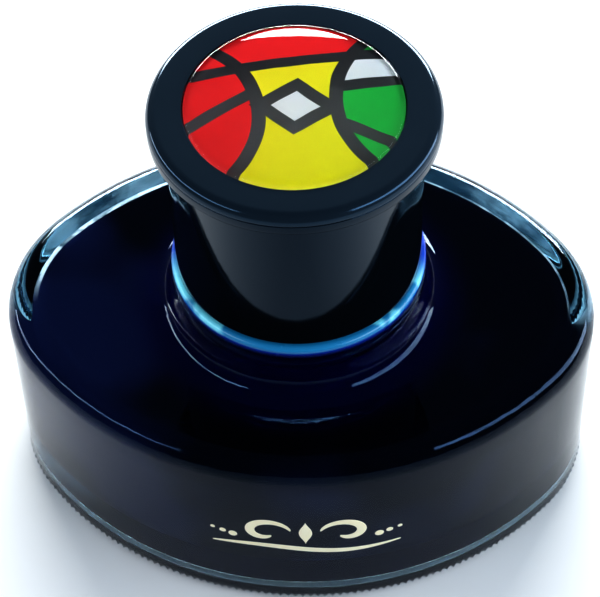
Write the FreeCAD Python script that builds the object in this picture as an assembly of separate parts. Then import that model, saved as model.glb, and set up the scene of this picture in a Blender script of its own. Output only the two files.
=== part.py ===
import FreeCAD, Part
import math
import os

from FreeCAD import Vector

# Desk ink bottle: a lens-shaped glass drum with a round neck, and a tall screw cap with a domed badge.
# Millimetres, +Z up. The origin is the middle of the base, X is the long way, the front wall faces -Y.

# Drum
half_length = 36.85
half_width = 27.15
side_radius = 42.2
drum_height = 29.0
rim_radius = 3.0
foot_radius = 1.8
glass_wall = 3.1
floor_thickness = 5.8
roof_thickness = 2.2
punt_depth = 0.9
bearing_width = 3.0

# Boss under the cap, and the neck with its thread
boss_radius = 15.6
boss_top = 37.5
boss_root_fillet = 3.8
boss_wall = 3.0
bore_radius = 8.4
neck_radius = 10.8
neck_top = 49.0
thread_pitch = 3.175
thread_depth = 1.1
thread_turns = 1.5
neck_thread_foot = 1.8
neck_thread_crest = 0.8
neck_thread_start = 42.2

# Ink
ink_level = 32.0
ink_gap = 0.05

# Cap
cap_bottom = 37.8
shell_radius = 15.0
shell_wall = 1.4
flange_radius = 17.05
flange_bottom = 60.4
flange_split = 61.75
cap_face = 63.2
shoulder_radius = 1.3
plug_depth = 3.0
plug_deck = 1.0
fit_gap = 0.03

# Inner closure and its sealing disc
insert_bottom = 38.5
insert_wall = 1.37
insert_roof = 1.6
insert_thread_depth = 1.1
insert_thread_foot = 1.5
insert_thread_crest = 0.6
liner_thickness = 1.0
liner_radius = 12.0

# Badge in the cap's face
badge_radius = 12.7
recess_depth = 1.0
recess_gap = 0.12
adhesive_thickness = 0.1
print_thickness = 0.15
dome_edge = 0.9
dome_rise = 1.4

# Gold print on the front wall
print_film = 0.08
print_height = 15.3
print_centre = 2.0

insert_radius = shell_radius - shell_wall - fit_gap
insert_inside = insert_radius - insert_wall
insert_roof_bottom = neck_top + liner_thickness
insert_top = insert_roof_bottom + insert_roof
recess_floor = cap_face - recess_depth


def disc(radius, low, high):
    """Round bar on the Z axis."""
    return Part.makeCylinder(radius, high - low, Vector(0, 0, low))


def turned(points):
    """Solid of revolution about Z from a closed outline of (radius, height) points."""
    outline = [Vector(r, 0, z) for r, z in points]
    face = Part.Face(Part.makePolygon(outline + outline[:1]))
    return face.revolve(Vector(0, 0, 0), Vector(0, 0, 1), 360)


def edges_at(shape, height, radius=None):
    """Edges that lie in the plane z = height, all of them or only circles of one radius."""
    found = []
    for edge in shape.Edges:
        box = edge.BoundBox
        if abs(box.ZMin - height) > 1e-4 or abs(box.ZMax - height) > 1e-4:
            continue
        if radius is None or abs(box.XMax - radius) < 1e-3:
            found.append(edge)
    return found


def oval_wire(inset, height):
    """Drum outline moved inwards by inset: two long arcs at front and back, two short arcs at the tips."""
    centre_y = side_radius - half_width
    reach = 2 * (side_radius - half_length)
    tip_radius = (2 * side_radius * half_width - half_length ** 2 - half_width ** 2) / reach
    centre_x = half_length - tip_radius
    turn = math.atan2(centre_y, centre_x)
    long_arc = side_radius - inset
    tip_arc = tip_radius - inset

    def on_long(angle, side):
        return Vector(long_arc * math.cos(angle), side * (long_arc * math.sin(angle) - centre_y), height)

    def on_tip(angle, side):
        return Vector(side * (centre_x + tip_arc * math.cos(angle)), tip_arc * math.sin(angle), height)

    right = math.pi - turn
    middle = math.pi / 2
    arcs = [
        Part.Arc(on_long(turn, 1), on_long(middle, 1), on_long(right, 1)),
        Part.Arc(on_tip(turn, -1), on_tip(0, -1), on_tip(-turn, -1)),
        Part.Arc(on_long(right, -1), on_long(middle, -1), on_long(turn, -1)),
        Part.Arc(on_tip(-turn, 1), on_tip(0, 1), on_tip(turn, 1)),
    ]
    return Part.Wire([arc.toShape() for arc in arcs])


def oval_block(inset, low, high, low_radius, high_radius):
    """Drum-shaped block with its bottom and top edges rounded."""
    block = Part.Face(oval_wire(inset, low)).extrude(Vector(0, 0, high - low))
    block = block.makeFillet(low_radius, edges_at(block, low))
    return block.makeFillet(high_radius, edges_at(block, high))


def screw_ridge(radius, start, base_width, crest_width, depth):
    """Helical ridge that stands depth from a cylinder of that radius: outwards if positive, else inwards."""
    root = radius - math.copysign(0.2, depth)
    crest = radius + depth
    corners = [
        Vector(root, 0, start - base_width / 2),
        Vector(crest, 0, start - crest_width / 2),
        Vector(crest, 0, start + crest_width / 2),
        Vector(root, 0, start + base_width / 2),
    ]
    profile = Part.makePolygon(corners + corners[:1])
    helix = Part.makeHelix(thread_pitch, thread_pitch * thread_turns, radius)
    helix.translate(Vector(0, 0, start))
    return Part.Wire(helix.Edges).makePipeShell([profile], True, True)


def cavity(gap):
    """Inside of the bottle, moved inwards by gap."""
    inside = glass_wall + gap
    roof = drum_height - roof_thickness - gap
    well_radius = boss_radius - boss_wall - gap
    room = oval_block(inside, floor_thickness + gap, roof, 3.5, 2.0)
    well = turned([
        (0, roof - 5),
        (well_radius, roof - 5),
        (well_radius, boss_top - 4.2),
        (bore_radius - gap, boss_top - 0.8),
        (bore_radius - gap, neck_top + 1),
        (0, neck_top + 1),
    ])
    room = room.fuse(well).removeSplitter()
    return room.makeFillet(1.5, edges_at(room, roof, well_radius))


def glass_bottle():
    body = oval_block(0, 0, drum_height, foot_radius, rim_radius)
    body = body.fuse(disc(boss_radius, drum_height - 2, boss_top))
    body = body.makeFillet(boss_root_fillet, edges_at(body, drum_height, boss_radius))
    body = body.makeFillet(0.8, edges_at(body, boss_top, boss_radius))
    neck = disc(neck_radius, boss_top - 1, neck_top)
    neck = neck.makeFillet(0.5, edges_at(neck, neck_top))
    ridge = screw_ridge(neck_radius, neck_thread_start, neck_thread_foot, neck_thread_crest, thread_depth)
    punt = oval_block(foot_radius + bearing_width, -5, punt_depth, 0.4, 0.8)
    return body.fuse([neck, ridge]).cut(cavity(0)).cut(punt)


def ink():
    top = Part.makeBox(200, 200, 100, Vector(-100, -100, ink_level))
    return cavity(ink_gap).cut(top)


def cap_shell():
    """Outer tube of the cap with the lower half of the flange and a stop step for the insert."""
    shell = turned([
        (shell_radius - shell_wall, cap_bottom),
        (shell_radius, cap_bottom),
        (shell_radius, flange_bottom),
        (flange_radius, flange_bottom),
        (flange_radius, flange_split),
        (shell_radius - 2 * shell_wall, flange_split),
        (shell_radius - 2 * shell_wall, insert_top),
        (shell_radius - shell_wall, insert_top),
    ])
    shell = shell.makeFillet(0.35, edges_at(shell, cap_bottom, shell_radius))
    shell = shell.makeFillet(0.25, edges_at(shell, flange_bottom, flange_radius))
    return shell.makeFillet(0.15, edges_at(shell, flange_split, flange_radius))


def cap_top():
    """Upper half of the flange: round shoulder, badge recess, and a hollow plug that fits into the shell."""
    plug_radius = shell_radius - 2 * shell_wall - fit_gap
    top = turned([
        (0, flange_split),
        (flange_radius, flange_split),
        (flange_radius, cap_face),
        (badge_radius + recess_gap, cap_face),
        (badge_radius + recess_gap, recess_floor),
        (0, recess_floor),
    ])
    top = top.makeFillet(0.1, edges_at(top, flange_split, flange_radius))
    top = top.makeFillet(shoulder_radius, edges_at(top, cap_face, flange_radius))
    plug = disc(plug_radius, flange_split - plug_depth, flange_split)
    hollow = disc(plug_radius - shell_wall, flange_split - plug_depth, flange_split - plug_deck)
    return top.fuse(plug.cut(hollow))


def threaded_insert():
    cup = disc(insert_radius, insert_bottom, insert_top)
    cup = cup.cut(disc(insert_inside, insert_bottom, insert_roof_bottom))
    start = neck_thread_start - thread_pitch / 2
    ridge = screw_ridge(insert_inside, start, insert_thread_foot, insert_thread_crest, -insert_thread_depth)
    return cup.fuse(ridge)


def cap_liner():
    return disc(liner_radius, neck_top, insert_roof_bottom)


def badge_adhesive():
    return disc(badge_radius - 0.6, recess_floor, recess_floor + adhesive_thickness)


def badge_print():
    low = recess_floor + adhesive_thickness
    return disc(badge_radius - 0.1, low, low + print_thickness)


def badge_dome():
    """Clear lens: a short round edge under a shallow sphere."""
    low = recess_floor + adhesive_thickness + print_thickness
    edge = low + dome_edge
    sphere_radius = (badge_radius ** 2 + dome_rise ** 2) / (2 * dome_rise)
    ball = Part.makeSphere(sphere_radius, Vector(0, 0, edge + dome_rise - sphere_radius))
    dome = disc(badge_radius, low, edge + dome_rise).common(ball)
    return dome.makeFillet(0.5, edges_at(dome, edge))


def on_front_wall(flat):
    """Thin film that a flat shape in the XZ plane leaves on the curved front wall."""
    centre = Vector(0, side_radius - half_width, 0)
    film = Part.makeCylinder(side_radius + print_film, drum_height, centre)
    film = film.cut(Part.makeCylinder(side_radius, drum_height, centre))
    return flat.extrude(Vector(0, -2 * half_width, 0)).common(film)


def lozenge(x, width, height):
    corners = [
        Vector(x - width / 2, 0, print_height),
        Vector(x, 0, print_height + height / 2),
        Vector(x + width / 2, 0, print_height),
        Vector(x, 0, print_height - height / 2),
    ]
    return Part.Face(Part.makePolygon(corners + corners[:1]))


def front_print():
    """Gold ornament: a central lozenge between two rows of shrinking ones."""
    films = [on_front_wall(lozenge(print_centre, 5.0, 5.0))]
    for step in range(1, 4):
        size = 3.4 - 0.7 * step
        for side in (-1, 1):
            films.append(on_front_wall(lozenge(print_centre + side * (0.8 + 3.4 * step), 2.4, size)))
    return Part.makeCompound(films)


pieces = {
    "glass_bottle": glass_bottle,
    "ink": ink,
    "front_print": front_print,
    "cap_shell": cap_shell,
    "cap_top": cap_top,
    "threaded_insert": threaded_insert,
    "cap_liner": cap_liner,
    "badge_adhesive": badge_adhesive,
    "badge_print": badge_print,
    "badge_dome": badge_dome,
}

os.makedirs("parts", exist_ok=True)
for name, make in pieces.items():
    shape = make()
    shape.exportStep("parts/" + name + ".step")
    print(name, "valid" if shape.isValid() else "NOT VALID", len(shape.Solids), "solid(s),",
          round(shape.Volume / 1000, 3), "cm3")
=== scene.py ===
import math

import bpy
import numpy as np
from mathutils import Matrix, Vector


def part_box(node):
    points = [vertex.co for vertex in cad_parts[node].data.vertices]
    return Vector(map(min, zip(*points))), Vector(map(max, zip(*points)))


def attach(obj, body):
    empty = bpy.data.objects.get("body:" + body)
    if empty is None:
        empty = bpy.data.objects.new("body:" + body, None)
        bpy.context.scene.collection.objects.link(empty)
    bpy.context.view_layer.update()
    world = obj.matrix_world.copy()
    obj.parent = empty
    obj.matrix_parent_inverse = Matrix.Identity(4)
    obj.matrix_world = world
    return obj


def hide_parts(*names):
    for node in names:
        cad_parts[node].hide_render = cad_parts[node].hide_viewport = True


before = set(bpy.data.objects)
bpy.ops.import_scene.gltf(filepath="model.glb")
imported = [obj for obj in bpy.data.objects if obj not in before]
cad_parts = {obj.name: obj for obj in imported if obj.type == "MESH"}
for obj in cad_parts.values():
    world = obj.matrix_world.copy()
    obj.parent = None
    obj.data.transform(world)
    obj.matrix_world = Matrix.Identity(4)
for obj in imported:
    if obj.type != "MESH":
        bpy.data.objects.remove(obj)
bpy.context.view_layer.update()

# lengths are in millimetres, and mm turns them into metres
mm = 0.001
scene = bpy.context.scene

# low and high corners of the designed pieces, in metres
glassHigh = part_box("glass_bottle")[1]
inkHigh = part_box("ink")[1]
shellLow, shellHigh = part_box("cap_shell")
topLow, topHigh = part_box("cap_top")
insertLow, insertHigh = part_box("threaded_insert")
linerLow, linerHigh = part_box("cap_liner")
domeLow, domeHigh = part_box("badge_dome")
printLow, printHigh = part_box("badge_print")
glueLow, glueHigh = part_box("badge_adhesive")
frontLow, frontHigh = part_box("front_print")


class Wire:
    # a socket that can stand in a sum
    def __init__(self, paint, socket):
        self.paint = paint
        self.socket = socket

    def calc(self, operation, *terms):
        # one Math node
        sockets = dict(enumerate(terms))
        return self.paint.node("ShaderNodeMath", {"operation": operation}, sockets).out(0)

    def __add__(self, other):
        return self.calc("ADD", self, other)

    def __radd__(self, other):
        return self.calc("ADD", other, self)

    def __sub__(self, other):
        return self.calc("SUBTRACT", self, other)

    def __rsub__(self, other):
        return self.calc("SUBTRACT", other, self)

    def __mul__(self, other):
        return self.calc("MULTIPLY", self, other)

    def __rmul__(self, other):
        return self.calc("MULTIPLY", other, self)

    def __pow__(self, other):
        return self.calc("POWER", self, other)

    def __rpow__(self, other):
        return self.calc("POWER", other, self)

    def __abs__(self):
        return self.calc("ABSOLUTE", self)

    def least(self, other):
        return self.calc("MINIMUM", self, other)

    def below(self, limit, blur):
        # 1 under the limit, 0 over it, with a short slope between
        return self.paint.node("ShaderNodeMapRange", {"interpolation_type": "SMOOTHSTEP"}, {
            "Value": self, "From Min": limit - blur, "From Max": limit + blur,
            "To Min": 1.0, "To Max": 0.0}).out(0)


class Made:
    # a node whose outputs come out as wires
    def __init__(self, paint, node):
        self.paint = paint
        self.node = node

    def out(self, key):
        return Wire(self.paint, self.node.outputs[key])


class Paint:
    # one material, built node by node
    def __init__(self, name):
        self.material = bpy.data.materials.new(name)
        self.material.use_nodes = True
        self.tree = self.material.node_tree
        self.tree.nodes.clear()
        self.place = self.node("ShaderNodeTexCoord").out("Object")

    def node(self, kind, settings=None, sockets=None):
        # settings are set first, then each socket gets a value or a link
        made = self.tree.nodes.new(kind)
        for key, value in (settings or {}).items():
            setattr(made, key, value)
        for key, value in (sockets or {}).items():
            if isinstance(value, Wire):
                self.tree.links.new(value.socket, made.inputs[key])
            else:
                made.inputs[key].default_value = value
        return Made(self, made)

    def noise(self, scale, detail=2.0, roughness=0.5, vector=None):
        return self.node("ShaderNodeTexNoise", None, {
            "Vector": vector or self.place, "Scale": scale, "Detail": detail,
            "Roughness": roughness}).out(0)

    def blend(self, factor, first, second):
        # one finish where the factor is 0, the other where it is 1
        return self.node("ShaderNodeMixShader", None, {0: factor, 1: first, 2: second}).out(0)

    def mix(self, factor, first, second):
        # the same for two colours
        return self.node("ShaderNodeMix", {"data_type": "RGBA"}, {0: factor, 6: first, 7: second}).out(2)

    def axes(self):
        # object coordinates in millimetres
        split = self.node("ShaderNodeSeparateXYZ", None, {0: self.place})
        return [split.out(i) * 1000.0 for i in range(3)]

    def bump(self, height, distance, strength=1.0):
        return self.node("ShaderNodeBump", None, {
            "Height": height, "Distance": distance, "Strength": strength}).out(0)

    def shader(self, sockets):
        return self.node("ShaderNodeBsdfPrincipled", None, sockets).out(0)

    def output(self, shader, volume=None):
        sockets = {"Surface": shader} if volume is None else {"Surface": shader, "Volume": volume}
        self.node("ShaderNodeOutputMaterial", None, sockets)
        return self.material

    def surface(self, sockets):
        return self.output(self.shader(sockets))


def colour(r, g, b):
    return (r, g, b, 1.0)


def filletPath(corners, arcPoints=9, longest=1.5, closed=False):
    # corners are (x, y, radius): each radius becomes an arc tangent to its two runs,
    # point = centre + slerp(start, end), and long runs are divided evenly
    points = []
    for i, (x, y, radius) in enumerate(corners):
        corner = np.array([x, y], float)
        if radius == 0:
            points.append(corner[None])
            continue
        before = np.array(corners[i - 1][:2]) - corner
        after = np.array(corners[(i + 1) % len(corners)][:2]) - corner
        before /= np.linalg.norm(before)
        after /= np.linalg.norm(after)
        half = math.acos(np.clip(before @ after, -1, 1)) / 2
        middle = before + after
        centre = corner + middle / np.linalg.norm(middle) * radius / math.sin(half)
        start = corner + before * radius / math.tan(half) - centre
        end = corner + after * radius / math.tan(half) - centre
        turn = math.pi - 2 * half
        s = np.linspace(0, 1, arcPoints)[:, None]
        points.append(centre + (np.sin((1 - s) * turn) * start + np.sin(s * turn) * end) / math.sin(turn))
    path = np.concatenate(points + points[:1] if closed else points)
    pieces = [path[:1]]
    for a, b in zip(path[:-1], path[1:]):
        count = max(1, math.ceil(np.linalg.norm(b - a) / longest))
        s = np.linspace(0, 1, count + 1)[1:, None]
        pieces.append(a + (b - a) * s)
    path = np.concatenate(pieces)
    return path[:-len(points[0])] if closed else path


def ringAngles(count):
    # even angles round a circle
    return np.linspace(0, 2 * math.pi, count, endpoint=False)


def roundRings(path, angles, ridge=None):
    # path is (r, z); point = (r cos a, r sin a, z), with the radius changed by ridge(a, z)
    r, z = path[:, :1], path[:, 1:]
    if ridge is not None:
        r = r + ridge(angles[None, :], z)
    return np.stack(np.broadcast_arrays(r * np.cos(angles), r * np.sin(angles), z), axis=2)


def joinRings(first, second, count):
    # straight blend from one ring to another, without the two end rings
    s = np.linspace(0, 1, count + 2)[1:-1, None, None]
    return first + (second - first) * s


def gridMesh(name, rings, around=False, startPole=None, endPole=None):
    # quads between neighbouring rings of points in millimetres; around joins the last ring to the first,
    # a pole closes an end with a fan
    rows, columns = rings.shape[:2]
    verts = rings.reshape(-1, 3)
    j = np.arange(columns)
    jNext = (j + 1) % columns
    i = np.arange(rows if around else rows - 1)[:, None]
    iNext = (i + 1) % rows
    quads = np.stack(np.broadcast_arrays(
        i * columns + j, i * columns + jNext, iNext * columns + jNext, iNext * columns + j), axis=2)
    quads = quads.reshape(-1, 4)
    fans = []
    for pole, row, order in ((startPole, 0, 1), (endPole, rows - 1, -1)):
        if pole is not None:
            tip = len(verts)
            verts = np.vstack([verts, pole])
            fan = np.stack([np.full(columns, tip), row * columns + jNext, row * columns + j], axis=1)
            fans.append(fan[:, ::order])
    tris = np.concatenate(fans) if fans else np.zeros((0, 3), int)
    mesh = bpy.data.meshes.new(name)
    mesh.vertices.add(len(verts))
    mesh.vertices.foreach_set("co", (verts * mm).astype(np.float32).ravel())
    loops = np.concatenate([quads.ravel(), tris.ravel()]).astype(np.int32)
    sizes = np.concatenate([np.full(len(quads), 4), np.full(len(tris), 3)]).astype(np.int32)
    mesh.loops.add(len(loops))
    mesh.loops.foreach_set("vertex_index", loops)
    mesh.polygons.add(len(sizes))
    mesh.polygons.foreach_set("loop_start", np.concatenate([[0], np.cumsum(sizes)[:-1]]).astype(np.int32))
    mesh.polygons.foreach_set("use_smooth", np.ones(len(sizes), bool))
    mesh.update(calc_edges=True)
    mesh.validate()
    return mesh


def piece(name, mesh, material, body, slot, *nodes):
    # object at the origin that rides on a body and stands for some designed nodes
    made = bpy.data.objects.new(name, mesh)
    scene.collection.objects.link(made)
    mesh.materials.append(material)
    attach(made, body)
    if nodes:
        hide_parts(*nodes)
    print("made", name, len(mesh.vertices), "vertices")
    return made


def screwRidge(screw, sign):
    # helical ridge about z = start + pitch * angle / (2 pi): its height falls off across the flank
    # and fades out at both ends of the thread
    total = 2 * math.pi * screw["turns"]

    def ridge(angle, z):
        height = np.zeros(np.broadcast(angle, z).shape)
        for turn in range(math.ceil(screw["turns"])):
            along = angle + 2 * math.pi * turn
            centre = screw["start"] + screw["pitch"] * along / (2 * math.pi)
            flank = (screw["foot"] / 2 - np.abs(z - centre)) / ((screw["foot"] - screw["crest"]) / 2)
            fade = np.clip(np.minimum(along, total - along) / screw["runOut"], 0, 1)
            flank = np.clip(flank, 0, 1)
            flank = flank * flank * (3 - 2 * flank)
            height = np.maximum(height, flank * fade * fade * (3 - 2 * fade))
        return sign * screw["depth"] * height

    return ridge


bottle = {
    "segments": 420,
    "halfLength": glassHigh.x / mm,
    "halfWidth": glassHigh.y / mm,
    "sideRadius": 42.2,
    "height": 29.0,
    "rim": 3.0,
    "foot": 1.8,
    "bearing": 3.0,
    "punt": 0.9,
    "wall": 3.1,
    "floor": 5.8,
    "roof": 2.2,
    "innerFloorRound": 3.5,
    "innerRoofRound": 2.0,
    "bossRadius": 15.6,
    "bossTop": 37.5,
    "bossRoot": 3.8,
    "bossRound": 0.8,
    "bossWall": 3.0,
    "wellTop": 33.3,
    "wellRound": 1.5,
    "throatDrop": 0.8,  # from the boss's top to where the throat starts to widen
    "bore": 8.4,
    "neck": 10.8,
    "neckRoot": 0.4,
    "neckTop": glassHigh.z / mm,
    "lipRound": 0.5,
    "mouthRound": 0.6,
    "middle": 4.0,  # radius of the last ring before a pole
    "knurls": 210,
    "knurlDepth": 0.24,
    "knurlHeight": 0.8,
    "knurlSpread": 0.8,
    "seamHeight": 0.04,
    "seamWidth": 0.28,
}
neckScrew = {
    "start": 42.2,
    "pitch": 3.175,
    "turns": 1.5,
    "depth": 1.1,
    "foot": 1.8,
    "crest": 0.8,
    "runOut": 0.5,  # radians
}
ink = {
    "overlap": 0.04,
    "level": inkHigh.z / mm,
    "meniscus": 0.5,
    "curlWidth": 2.5,
}


def ovalArcs(angles):
    # long arcs at front and back, short arcs at the tips, tangent where they meet:
    # centre x, centre y and radius of the arc at each normal angle
    b = bottle
    centreY = b["sideRadius"] - b["halfWidth"]
    tip = (2 * b["sideRadius"] * b["halfWidth"] - b["halfLength"] ** 2 - b["halfWidth"] ** 2) / (
        2 * (b["sideRadius"] - b["halfLength"]))
    centreX = b["halfLength"] - tip
    c, s = np.cos(angles), np.sin(angles)
    onTip = np.abs(s) < math.sin(math.atan2(centreY, centreX))
    return (np.where(onTip, np.sign(c) * centreX, 0.0), np.where(onTip, 0.0, -np.sign(s) * centreY),
            np.where(onTip, tip, b["sideRadius"]))


def outlineLength(angles):
    # length along the outline: each arc adds its radius times its angle
    radius = ovalArcs((angles[1:] + angles[:-1]) / 2)[2]
    return np.concatenate([[0.0], np.cumsum(radius * np.diff(angles))])


def evenAngles(count):
    # normal angles that lie evenly along the outline
    fine = np.linspace(0, 2 * math.pi, 7201)
    length = outlineLength(fine)
    return np.interp(np.arange(count) / count * length[-1], length, fine)


def ovalRings(path, angles, seam=0.0, knurl=0.0):
    # path is (inset, z); point = arc centre + (radius - inset) * (cos a, sin a),
    # plus a mould seam at the tips and ridges cos(n t) round the foot
    b = bottle
    x0, y0, radius = ovalArcs(angles)
    c, s = np.cos(angles), np.sin(angles)
    turns = 2 * math.pi * np.arange(len(angles)) / len(angles)
    line = seam * np.exp(-(s * radius / b["seamWidth"]) ** 2)
    fade = np.exp(-((path[:, 1:] - b["knurlHeight"]) / b["knurlSpread"]) ** 2) * (path[:, :1] < b["foot"])
    ridges = knurl * fade * np.cos(b["knurls"] * turns)
    reach = radius - path[:, :1] + line + ridges
    return np.stack(np.broadcast_arrays(x0 + reach * c, y0 + reach * s, path[:, 1:]), axis=2)


def cavityRings(angles, gap):
    # inside of the bottle from the mouth down to the middle of the floor: round throat, then the oval room,
    # with straight blends between their rings
    b = bottle
    roof = b["height"] - b["roof"] - gap
    well = b["bossRadius"] - b["bossWall"] - gap
    inset = b["wall"] + gap
    throat = roundRings(filletPath([
        (b["bore"] - gap, b["neckTop"] - b["mouthRound"], 0),
        (b["bore"] - gap, b["bossTop"] - b["throatDrop"], 1.0),
        (well, b["wellTop"], b["wellRound"]), (well, roof, b["wellRound"]),
        (well + b["wellRound"] + 0.1, roof, 0)]), angles)
    room = ovalRings(filletPath([
        (inset + b["innerRoofRound"] + 0.2, roof, 0), (inset, roof, b["innerRoofRound"]),
        (inset, b["floor"] + gap, b["innerFloorRound"]),
        (inset + b["innerFloorRound"] + 0.2, b["floor"] + gap, 0)], longest=2.5), angles)
    middle = roundRings(np.array([[b["middle"], b["floor"] + gap]]), angles)
    return throat, np.concatenate([
        joinRings(throat[-1], room[0], 5), room, joinRings(room[-1], middle[0], 7), middle])


def bottleMesh():
    # one closed skin: hollow base, foot, wall, shoulder, boss, neck with its thread, mouth, throat and room
    b = bottle
    angles = evenAngles(b["segments"])
    puntInset = b["foot"] + b["bearing"]
    middle = roundRings(np.array([[b["middle"], b["punt"]]]), angles)
    foot = ovalRings(filletPath([
        (puntInset + 1.5, b["punt"], 0), (puntInset, b["punt"], 0.6), (puntInset, 0.0, 0.25),
        (0.0, 0.0, b["foot"]), (0.0, b["height"] * 0.5, 0), (0.0, b["height"], b["rim"]),
        (b["rim"] + 0.2, b["height"], 0)], arcPoints=12, longest=3.0),
        angles, b["seamHeight"], b["knurlDepth"])
    boss = roundRings(filletPath([
        (b["bossRadius"] + b["bossRoot"] + 0.3, b["height"], 0),
        (b["bossRadius"], b["height"], b["bossRoot"]),
        (b["bossRadius"], b["bossTop"], b["bossRound"]), (b["neck"] + b["neckRoot"], b["bossTop"], 0),
        (b["neck"], b["bossTop"] + b["neckRoot"], 0)], arcPoints=12), angles)
    neckPath = filletPath([
        (b["neck"], b["bossTop"] + 2 * b["neckRoot"], 0), (b["neck"], b["neckTop"], b["lipRound"]),
        (b["bore"], b["neckTop"], b["mouthRound"]), (b["bore"], b["neckTop"] - b["mouthRound"], 0)],
        arcPoints=6, longest=0.27)
    neck = roundRings(neckPath, angles, screwRidge(neckScrew, 1))
    throat, room = cavityRings(angles, 0.0)
    rings = np.concatenate([
        middle, joinRings(middle[0], foot[0], 6), foot, joinRings(foot[-1], boss[0], 6), boss,
        neck, throat, room])
    return gridMesh("glassBottle", rings, startPole=(0, 0, b["punt"]), endPole=(0, 0, b["floor"]))


def inkMesh():
    # the liquid wets the glass, so its skin lies just inside the glass wall; the top curls up at the edge,
    # z = level - meniscus + meniscus * exp(-4 s)
    b = bottle
    angles = evenAngles(b["segments"])
    gap = -ink["overlap"]
    level = ink["level"] - ink["meniscus"]
    throat, room = cavityRings(angles, gap)
    under = throat[throat[:, 0, 2] < level]
    edge = np.linalg.norm(under[0, 0, :2])
    s = np.linspace(0, 1, 9)
    curl = ink["meniscus"] * np.exp(-4 * s)
    top = roundRings(np.stack([edge - ink["curlWidth"] * s, level + curl], axis=1)[::-1], angles)
    rings = np.concatenate([top, under, room])
    return gridMesh("inkFill", rings[::-1], startPole=(0, 0, b["floor"] + gap), endPole=(0, 0, level))


glass = {
    "clean": colour(0.90, 0.97, 1.0),
    "smeared": colour(0.97, 0.99, 1.0),
    "reflection": colour(0.16, 0.27, 0.46),
    "body": colour(0.42, 0.72, 0.84),
    "bodyDensity": 70.0,
    "ledge": (36.3, 38.4),  # lowest and highest point of the painted light in the boss's edge
    "ledgeInside": 14.4,
    "ledgeFoot": 36.9,  # under this height the painted light is deep blue
    "bright": colour(0.26, 0.86, 1.0),
    "cyan": colour(0.02, 0.26, 0.50),
    "royal": colour(0.002, 0.05, 0.42),
    "deep": colour(0.002, 0.02, 0.22),
}


def clearGlass():
    # clear soda glass with slow ripples and faint smears, and painted blue light in the edge of the ledge:
    # a second, blue shader stands in for light caught there
    g = glass
    p = Paint("clearGlass")
    x, y, z = p.axes()
    ripple = p.noise(55.0, 1.0)
    streak = p.noise(1.0, 2.0, vector=p.node("ShaderNodeMapping", None, {
        "Vector": p.place, "Scale": (160.0, 160.0, 9.0)}).out(0))
    smears = p.noise(130.0, 4.0, 0.6)
    clear = p.shader({
        "Base Color": p.mix(smears, g["clean"], g["smeared"]),
        "Roughness": 0.004 + 0.02 * smears * smears,
        "IOR": 1.5,
        "Specular Tint": g["reflection"],
        "Transmission Weight": 1.0,
        "Normal": p.bump(ripple + streak * 0.3, 0.00012, 0.5)})
    patch = p.noise(210.0, 2.0, 0.6)
    radius = (x * x + y * y) ** 0.5
    toMiddle = abs(x).below(7.0, 2.0)
    # painted light: bright in broken patches at both sides, cyan toward the middle, royal blue behind
    lit = p.mix((toMiddle + patch).below(0.55, 0.06), g["cyan"], g["bright"])
    lit = p.mix(y.below(-3.0, 3.0), g["royal"], lit)
    paintedLedgeLight = p.shader({
        "Base Color": p.mix(z.below(g["ledgeFoot"], 0.35), lit, g["deep"]),
        "Roughness": 0.22 + 0.1 * smears,
        "IOR": 1.5})
    # where the painted light shows: the boss's rounded top edge
    onLedge = (1.0 - z.below(g["ledge"][0], 0.4)) * z.below(g["ledge"][1], 0.2)
    onLedge = onLedge * (1.0 - radius.below(g["ledgeInside"], 0.2))
    depth = p.node("ShaderNodeVolumeAbsorption", None, {
        "Color": g["body"], "Density": g["bodyDensity"]}).out(0)
    return p.output(p.blend(onLedge, clear, paintedLedgeLight), depth)


liquid = {
    "navy": colour(0.010, 0.015, 0.058),
    "black": colour(0.0009, 0.0016, 0.005),
    # painted light: saturated blue in the ink round the boss
    "paintedBossBlue": colour(0.0, 0.0006, 0.055),
    "bossReach": 18.5,
    "pale": colour(0.80, 0.90, 1.0),
    "bandLight": colour(0.52, 0.60, 0.66),
    "bandDark": colour(0.05, 0.10, 0.14),
    "edgeHeight": 31.4,  # over this height the painted reflection is pale
    "edgeTilt": 0.05,
    "edgeChips": 8.0,
    "lowAngle": 0.54,
    "leftReach": -16.0,
    "leftLift": 0.2,
    "backStart": 1.0,
}


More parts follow.
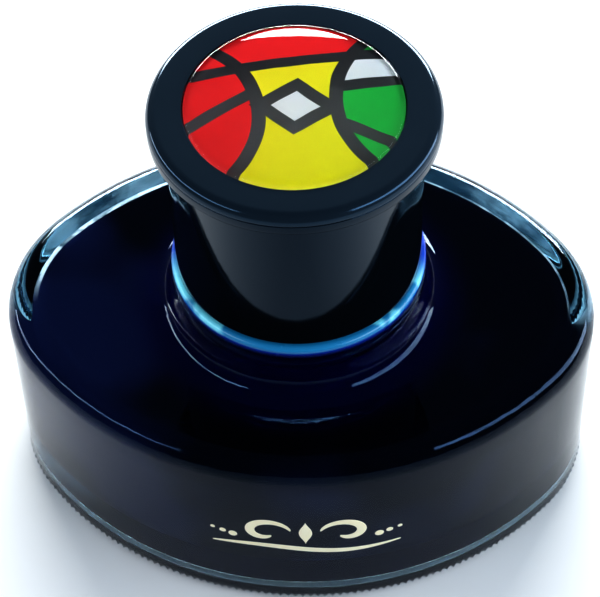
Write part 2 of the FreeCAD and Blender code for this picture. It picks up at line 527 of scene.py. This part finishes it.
def blueInk():
    # almost black, with painted light: saturated blue under the shoulder, and a navy cast that drifts at
    # random through the drum and is painted stronger to the left
    q = liquid
    p = Paint("blueInk")
    x, y, z = p.axes()
    radius = (x * x + y * y) ** 0.5
    cloud = p.noise(38.0, 2.0)
    # painted light: the navy leans to the left side, where x is below zero
    drift = (cloud + x * -0.006).below(0.55, 0.12)
    deep = p.mix(drift, q["navy"], q["black"])
    fluid = p.shader({
        "Base Color": p.mix(radius.below(q["bossReach"], 4.0), deep, q["paintedBossBlue"]),
        "Roughness": 0.25 + 0.1 * cloud,
        "IOR": 1.33,
        "Specular IOR Level": 0.0})
    # painted reflection: where the liquid is met at a low angle from inside the glass, at the back and more
    # at the left, a pale streaked shader stands in for the light turned back there
    streaks = p.noise(95.0, 4.0, 0.65)
    band = p.mix(streaks.below(0.5, 0.1), q["bandLight"], q["bandDark"])
    chips = p.noise(330.0, 2.0, 0.6)
    edge = (z + chips * q["edgeChips"] - x * q["edgeTilt"]).below(q["edgeHeight"], 0.3)
    # the painted reflection's shader: pale over the edge height, streaked light and dark under it
    skin = p.shader({
        "Base Color": p.mix(edge, q["pale"], band),
        "Metallic": 0.4,
        "Specular IOR Level": 0.0,
        "Roughness": 0.1 + 0.05 * cloud})
    facing = p.node("ShaderNodeLayerWeight", None, {"Blend": 0.5}).out("Facing")
    # the painted reflection reaches further at the left end and stays on the back half
    atLeft = x.below(q["leftReach"], 6.0) * q["leftLift"]
    lowAngle = 1.0 - (facing + atLeft).below(q["lowAngle"], 0.03)
    atBack = 1.0 - y.below(q["backStart"], 3.0)
    return p.output(p.blend(lowAngle * atBack, fluid, skin))


poleRing = 0.8  # radius of the last ring before a pole
cap = {
    "segments": 256,
    "overhang": 2.05,  # how far the flange stands out from the tube
    "flange": 1.35,  # height of the flange's lower half
    "wall": 1.4,
    "edge": 0.35,
    "lip": 0.25,
    "corner": 0.12,
    "inside": 0.1,
    "split": 0.15,
    "shoulder": 1.3,
    "pocket": 0.12,
    "plugDepth": 3.0,
    "plugDeck": 1.0,
    "fit": 0.03,
}


def shellMesh():
    # closed outline of tube, flange and the step that stops the insert, turned about the neck's axis
    c = cap
    outer = shellHigh.x / mm
    skirt = outer - c["overhang"]
    low, high = shellLow.z / mm, shellHigh.z / mm
    under = high - c["flange"]
    inner, step, stop = skirt - c["wall"], skirt - 2 * c["wall"], insertHigh.z / mm
    path = filletPath([
        (inner, low, c["corner"]), (skirt, low, c["edge"]), (skirt, under, c["corner"]),
        (outer, under, c["lip"]), (outer, high, c["split"]), (step, high, c["inside"]),
        (step, stop, c["inside"]), (inner, stop, c["inside"])], closed=True)
    return gridMesh("capShell", roundRings(path, ringAngles(c["segments"])), around=True)


def topMesh():
    # outline from under the plug's deck round the flange's shoulder down into the badge's pocket,
    # turned about the neck's axis, with a pole at each end
    c = cap
    outer, low, high = topHigh.x / mm, topLow.z / mm + c["plugDepth"], topHigh.z / mm
    pocket, pocketFloor = domeHigh.x / mm + c["pocket"], glueLow.z / mm
    plug = shellHigh.x / mm - c["overhang"] - 2 * c["wall"] - c["fit"]
    hollow = plug - c["wall"]
    deck, foot = low - c["plugDeck"], low - c["plugDepth"]
    path = filletPath([
        (poleRing, deck, 0), (hollow, deck, 0.3), (hollow, foot, 0.2), (plug, foot, 0.3),
        (plug, low, 0.05), (outer, low, 0.1), (outer, high, c["shoulder"]), (pocket, high, 0.08),
        (pocket, pocketFloor, 0.05), (poleRing, pocketFloor, 0)], arcPoints=12)
    return gridMesh("capTop", roundRings(path, ringAngles(c["segments"])), startPole=(0, 0, deck),
                    endPole=(0, 0, pocketFloor))


insert = {
    "wall": 1.37,
    "roof": 1.6,
    "edge": 0.3,
    "mouth": 0.4,
}
insertScrew = {
    "start": neckScrew["start"] - neckScrew["pitch"] / 2,  # runs in the gap between the neck's turns
    "pitch": neckScrew["pitch"],
    "turns": neckScrew["turns"],
    "depth": 1.1,
    "foot": 1.5,
    "crest": 0.6,
    "runOut": 0.5,
}


def insertMesh():
    # cup turned about the neck's axis: roof, inner wall of radius inside - ridge(a, z), then the outside
    n = insert
    outer, low, high = insertHigh.x / mm, insertLow.z / mm, insertHigh.z / mm
    inside, roof = outer - n["wall"], high - n["roof"]
    angles = ringAngles(cap["segments"])
    skin = roundRings(filletPath([
        (inside, low + 1.0, 0), (inside, low, n["mouth"]), (outer, low, n["edge"]),
        (outer, high, n["edge"]), (poleRing, high, 0)]), angles)
    wall = roundRings(filletPath([(inside, roof - 0.5, 0), (inside, low + 1.05, 0)], longest=0.24), angles,
                      screwRidge(insertScrew, -1))
    deck = roundRings(filletPath([
        (poleRing, roof, 0), (inside, roof, n["edge"]), (inside, roof - 0.4, 0)]), angles)
    rings = np.concatenate([deck, wall, skin])
    return gridMesh("threadedInsert", rings, startPole=(0, 0, roof), endPole=(0, 0, high))


def discMesh(name, low, high, edge, segments, longest=1.5):
    # flat disc with rounded edges: its outline turned about the neck's axis, with a pole at each end
    outer, z0, z1 = high.x / mm, low.z / mm, high.z / mm
    path = filletPath([
        (poleRing, z0, 0), (outer, z0, edge), (outer, z1, edge), (poleRing, z1, 0)], longest=longest)
    return gridMesh(name, roundRings(path, ringAngles(segments)), startPole=(0, 0, z0), endPole=(0, 0, z1))


def blackGloss(name, base, roughness):
    # polished black with a slight orange peel, a bluish reflection and faint haze
    p = Paint(name)
    peel = p.noise(420.0, 1.0)
    haze = p.noise(90.0, 5.0, 0.65)
    return p.surface({
        "Base Color": p.mix(haze, colour(*base), colour(*[1.25 * v for v in base])),
        "Roughness": roughness + 0.05 * haze * haze,
        "IOR": 1.5,
        "Specular Tint": colour(0.25, 0.5, 0.8),
        "Normal": p.bump(peel, 0.000006, 0.6)})


def mouldedPlastic(name, base, roughness):
    # dull plastic or foam with a fine grain and slow patches
    p = Paint(name)
    grain = p.noise(2200.0, 2.0)
    patch = p.noise(200.0, 3.0)
    return p.surface({
        "Base Color": p.mix(patch, colour(*base), colour(*[0.8 * v for v in base])),
        "Roughness": roughness + 0.12 * patch,
        "Normal": p.bump(grain, 0.00002, 0.7)})


badge = {
    "segments": 192,
    "edge": 0.9,
    "rise": 1.4,
    "bond": 0.03,
    "round": 0.55,  # width left for the rounded rim
}
art = {
    "black": colour(0.012, 0.014, 0.016),
    "red": colour(0.98, 0.0, 0.004),
    "yellow": colour(1.0, 0.93, 0.0),
    "green": colour(0.0, 0.52, 0.06),
    "white": colour(0.88, 0.92, 0.96),
    "line": 0.78,
    "wobble": 0.5,
    "blur": 0.03,
    "leftArc": (-17.0, -3.0, 13.2),  # arcs: centre x, centre y, radius
    "rightArc": (18.0, 2.0, 13.4),
    "upper": (0.0, 6.6, 12.0),  # lines: a point and the slope in degrees
    "slant": (-8.0, -1.0, 38.0),
    "foot": (8.0, -3.6, -22.0),
    "crown": (8.0, 3.6, 14.0),
    "chip": (0.2, -0.4, 0.62, 0.78, 2.5),  # lozenge: centre, slopes and size
}


def domeMesh():
    # low round edge under a shallow sphere: z = edge + rise - R + sqrt(R^2 - r^2)
    outer, low = domeHigh.x / mm, domeLow.z / mm - badge["bond"]
    edge = low + badge["edge"] + badge["bond"]
    sphere = (outer ** 2 + badge["rise"] ** 2) / (2 * badge["rise"])
    r = np.linspace(outer - badge["round"], poleRing, 24)
    lens = np.stack([r, edge + badge["rise"] - sphere + np.sqrt(sphere ** 2 - r ** 2)], axis=1)
    rim = filletPath([
        (poleRing, low, 0), (outer, low, 0.08), (outer, lens[0, 1] + 0.02, 0.5),
        tuple(lens[0]) + (0,)])
    path = np.concatenate([rim, lens[1:]])
    return gridMesh("badgeDome", roundRings(path, ringAngles(badge["segments"])), startPole=(0, 0, low),
                    endPole=(0, 0, edge + badge["rise"]))


def badgeArt():
    # colour fields between bold black lines: two big arcs, four straight lines and a lozenge
    p = Paint("badgeArt")
    x, y = p.axes()[:2]
    wobble = (p.noise(160.0, 1.0) - 0.5) * art["wobble"]

    def arc(cx, cy, radius):
        # distance from the arc, negative inside it
        return ((x - cx) ** 2.0 + (y - cy) ** 2.0) ** 0.5 - radius + wobble

    def line(px, py, degrees):
        # distance from the line, negative under it
        a = math.radians(degrees)
        return (x - px) * -math.sin(a) + (y - py) * math.cos(a) + wobble

    def lozenge(cx, cy, slopeX, slopeY, size):
        return abs(x - cx) * slopeX + abs(y - cy) * slopeY - size + wobble

    def inside(distance):
        return distance.below(0.0, art["blur"])

    def only(distance, field):
        # the line is drawn in the field and pushed far away outside it
        return abs(distance) + field.below(0.5, 0.01) * 50.0

    left, right = arc(*art["leftArc"]), arc(*art["rightArc"])
    upper, slant = line(*art["upper"]), line(*art["slant"])
    foot, crown = line(*art["foot"]), line(*art["crown"])
    chip = lozenge(*art["chip"])
    inLeft, inRight = inside(left), inside(right)
    shade = p.mix(inLeft, art["yellow"], art["red"])
    shade = p.mix(inRight, shade, art["green"])
    shade = p.mix(inside(upper * -1.0) * (1.0 - inRight), shade, art["red"])
    shade = p.mix(inside(chip), shade, art["white"])
    shade = p.mix(inRight * (1.0 - inside(crown)) * inside(upper), shade, art["white"])
    stroke = abs(left).least(abs(right)).least(abs(upper)).least(abs(chip))
    stroke = stroke.least(only(crown, inRight)).least(only(slant, inLeft)).least(only(foot, inRight))
    inked = stroke.below(art["line"], 0.04)
    grain = p.noise(3000.0, 1.0)
    return p.surface({
        "Base Color": p.mix(inked, shade, art["black"]),
        "Roughness": 0.32 + 0.08 * grain,
        "Normal": p.bump(inked * 0.6 + grain * 0.2, 0.00001, 0.5)})


def clearResin():
    # clear cast resin with a faint swirl
    p = Paint("clearResin")
    swirl = p.noise(120.0, 2.0)
    return p.surface({
        "Base Color": colour(0.985, 0.99, 0.99),
        "Roughness": 0.005 + 0.015 * swirl,
        "IOR": 1.5,
        "Specular Tint": colour(0.2, 0.2, 0.2),
        "Transmission Weight": 1.0,
        "Normal": p.bump(swirl, 0.00002, 0.5)})


ornament = {
    "height": (frontLow.z + frontHigh.z) / 2 / mm,
    "centre": 2.0,
    "thick": 0.045,
    "sides": 12,
    "points": 72,
    "thin": 0.08,  # half-width at the ends of the long strokes
    "rule": {"half": 11.6, "drop": -3.1, "wave": 0.55, "width": 0.40},
    "scroll": {"centre": 4.9, "lift": 0.4, "start": 0.2, "turn": 5.2, "radius": 3.1, "shrink": 2.1,
               "squash": 0.85, "width": 0.52},
    "seeds": {"sizes": (0.55, 0.42, 0.3), "first": 9.0, "gap": 1.25, "drop": -0.9, "climb": 0.35},
    "leaf": {"half": 2.3, "lift": 0.5, "thin": 0.02, "width": 0.8},
}


def strokeMesh(name, x, z, width):
    # flat oval section carried along the line (x, z), width is its half-width there:
    # the wall gives y = centre - sqrt((R + out)^2 - x^2)
    b = bottle
    dx, dz = np.gradient(x), np.gradient(z)
    size = np.hypot(dx, dz)
    nx, nz = -dz / size, dx / size
    a = ringAngles(ornament["sides"])
    across = width[:, None] * np.cos(a)
    px = ornament["centre"] + x[:, None] + nx[:, None] * across
    pz = z[:, None] + nz[:, None] * across + ornament["height"]
    out = ornament["thick"] * np.sin(a)
    centreY = b["sideRadius"] - b["halfWidth"]
    py = centreY - np.sqrt((b["sideRadius"] + out) ** 2 - px ** 2)
    rings = np.stack([px, py, pz], axis=2)
    first, last = rings[0].mean(axis=0), rings[-1].mean(axis=0)
    return gridMesh(name, rings, startPole=first, endPole=last)


def ornamentStrokes():
    # centre lines (x, z) and half-widths, t from 0 to 1 along each: a waved rule, two scrolls whose radius
    # shrinks as they turn, round seeds of half-width size * sqrt(1 - u^2), and a leaf in the middle
    rule, scroll, seeds, leaf = (ornament[key] for key in ("rule", "scroll", "seeds", "leaf"))
    t = np.linspace(0, 1, ornament["points"])
    u = 2 * t - 1
    taper = np.sin(math.pi * t) ** 0.6
    strokes = [(-rule["half"] + 2 * rule["half"] * t, rule["drop"] + rule["wave"] * np.sin(2 * math.pi * t),
                ornament["thin"] + rule["width"] * taper)]
    turn = scroll["start"] + scroll["turn"] * t
    radius = scroll["radius"] - scroll["shrink"] * t
    for side in (-1, 1):
        x = side * (scroll["centre"] - radius * np.cos(turn))
        z = scroll["lift"] + radius * scroll["squash"] * np.sin(turn)
        strokes.append((x, z, ornament["thin"] + scroll["width"] * taper))
        for k, size in enumerate(seeds["sizes"]):
            x = side * (seeds["first"] + seeds["gap"] * k) + size * u
            z = np.full_like(t, seeds["drop"] + seeds["climb"] * k)
            strokes.append((x, z, size * np.sqrt(np.clip(1 - u ** 2, 0.002, 1))))
    strokes.append((np.zeros_like(t), leaf["lift"] + leaf["half"] * u,
                    leaf["thin"] + leaf["width"] * np.sin(math.pi * t) ** 1.4))
    return strokes


def paleGold():
    # matt screen ink, a little metallic, with specks and worn patches
    p = Paint("paleGold")
    speck = p.noise(1500.0, 3.0)
    wear = p.noise(350.0, 2.0)
    return p.surface({
        "Base Color": p.mix(wear, colour(0.98, 0.86, 0.56), colour(1.0, 0.94, 0.72)),
        "Metallic": 0.25,
        "Roughness": 0.32 + 0.2 * speck,
        "Normal": p.bump(speck, 0.00001, 0.6)})


# cap shell and cap top are the same black plastic; the top's lighter base is painted light for the face
# turned up to the lamps, and its finish is a little less glossy
glossBlack = blackGloss("glossBlack", (0.002, 0.004, 0.006), 0.04)
satinBlackLitTop = blackGloss("satinBlackLitTop", (0.013, 0.021, 0.029), 0.10)
insertBlack = mouldedPlastic("insertBlack", (0.03, 0.03, 0.033), 0.45)
linerFoam = mouldedPlastic("linerFoam", (0.78, 0.78, 0.75), 0.6)
glueFilm = mouldedPlastic("glueFilm", (0.7, 0.68, 0.6), 0.5)

piece("glassBottle", bottleMesh(), clearGlass(), "bottle", "clear_glass", "glass_bottle")
piece("inkFill", inkMesh(), blueInk(), "bottle", "blue_ink", "ink")
gold = paleGold()
for number, (x, z, width) in enumerate(ornamentStrokes()):
    name = "goldStroke" + str(number)
    piece(name, strokeMesh(name, x, z, width), gold, "bottle", "gold_print", "front_print")
piece("capShell", shellMesh(), glossBlack, "cap", "black_cap", "cap_shell")
piece("capTop", topMesh(), satinBlackLitTop, "cap", "black_cap", "cap_top")
piece("threadedInsert", insertMesh(), insertBlack, "cap", "insert_plastic", "threaded_insert")
piece("badgeGlue", discMesh("badgeGlue", glueLow, glueHigh, 0.03, badge["segments"]), glueFilm,
      "cap", "badge_glue", "badge_adhesive")
piece("badgePrint", discMesh("badgePrint", printLow, printHigh, 0.04, badge["segments"]), badgeArt(),
      "cap", "badge_art", "badge_print")
piece("badgeDome", domeMesh(), clearResin(), "cap", "clear_dome", "badge_dome")
piece("capLiner", discMesh("capLiner", linerLow, linerHigh, 0.25, 180, longest=0.3), linerFoam,
      "liner", "liner_foam", "cap_liner")
print("pieces ready")


# lamps, camera and floor are in metres and degrees
studio = {
    "floorHalf": 1.5,
    "floorPoints": 9,
    "floor": colour(0.94, 0.92, 0.89),
    "sky": colour(0.13, 0.16, 0.20),
    "skyStrength": 1.0,
}
# each box runs from one end to the other and faces the bottle
lamps = {
    "backBox": {"ends": ((-0.40, 0.62, 0.24), (0.34, 0.62, 0.24)), "width": 0.2, "watts": 9.6,
                "tint": (0.93, 0.98, 1.0)},
    "leftBox": {"ends": ((-0.64, 0.30, 0.11), (-0.36, -0.48, 0.43)), "width": 0.05, "watts": 1.5,
                "tint": (0.88, 0.93, 1.0)},
    "rightBox": {"ends": ((0.62, 0.32, 0.09), (0.39, -0.44, 0.37)), "width": 0.14, "watts": 2.9,
                 "tint": (0.80, 0.89, 1.0)},
}
shot = {
    "aim": (0.0, 0.0, 27.7 * mm),
    "distance": 292.5 * mm,
    "azimuth": 4.64,
    "elevation": 51.66,
    "roll": -1.72,
    "lens": 140.0,
    "sensor": 36.0,
    "clip": (0.01, 10.0),
}


def floorMesh():
    # square grid of points (x, y, 0)
    half, count = studio["floorHalf"], studio["floorPoints"]
    side = np.linspace(-half, half, count)
    gx, gy = np.meshgrid(side, side)
    verts = np.stack([gx.ravel(), gy.ravel(), np.zeros(gx.size)], axis=1)
    i, j = np.meshgrid(np.arange(count - 1), np.arange(count - 1), indexing="ij")
    a = (i * count + j).ravel()
    quads = np.stack([a, a + 1, a + count + 1, a + count], axis=1)
    mesh = bpy.data.meshes.new("studioFloor")
    mesh.from_pydata(verts.tolist(), [], quads.tolist())
    return mesh


def addFloor():
    # pale dull ground that belongs to the stage, not to the bottle
    p = Paint("paleFloor")
    made = bpy.data.objects.new("studioFloor", floorMesh())
    made.data.materials.append(p.surface({"Base Color": studio["floor"], "Roughness": 0.7}))
    scene.collection.objects.link(made)


def addLamps():
    # long soft boxes, and a dim grey-blue sky
    for name, lamp in lamps.items():
        data = bpy.data.lights.new(name, "AREA")
        data.shape = "RECTANGLE"
        first, last = Vector(lamp["ends"][0]), Vector(lamp["ends"][1])
        data.size, data.size_y = (last - first).length, lamp["width"]
        data.energy = lamp["watts"]
        data.color = lamp["tint"]
        made = bpy.data.objects.new(name, data)
        middle = (first + last) / 2
        along = (last - first).normalized()
        back = middle - Vector(shot["aim"])
        back = (back - along * back.dot(along)).normalized()
        turn = Matrix((along, back.cross(along), back)).transposed()
        made.matrix_world = Matrix.Translation(middle) @ turn.to_4x4()
        made.visible_camera = False
        scene.collection.objects.link(made)
    world = bpy.data.worlds.new("studio")
    world.use_nodes = True
    background = world.node_tree.nodes["Background"]
    background.inputs["Color"].default_value = studio["sky"]
    background.inputs["Strength"].default_value = studio["skyStrength"]
    scene.world = world


def addCamera():
    # looks at the aim from an azimuth off the front and an elevation above the ground
    azimuth, elevation = math.radians(shot["azimuth"]), math.radians(shot["elevation"])
    back = Vector((
        math.sin(azimuth) * math.cos(elevation), -math.cos(azimuth) * math.cos(elevation),
        math.sin(elevation)))
    data = bpy.data.cameras.new("camera")
    data.lens = shot["lens"]
    data.sensor_width = shot["sensor"]
    data.clip_start, data.clip_end = shot["clip"]
    made = bpy.data.objects.new("camera", data)
    roll = Matrix.Rotation(math.radians(shot["roll"]), 3, "Z")
    turn = (-back).to_track_quat("-Z", "Y").to_matrix() @ roll
    made.matrix_world = Matrix.Translation(Vector(shot["aim"]) + back * shot["distance"]) @ turn.to_4x4()
    scene.collection.objects.link(made)
    scene.camera = made


addFloor()
addLamps()
addCamera()
scene.view_settings.view_transform = "Standard"
scene.view_settings.look = "High Contrast"
print("stage ready")
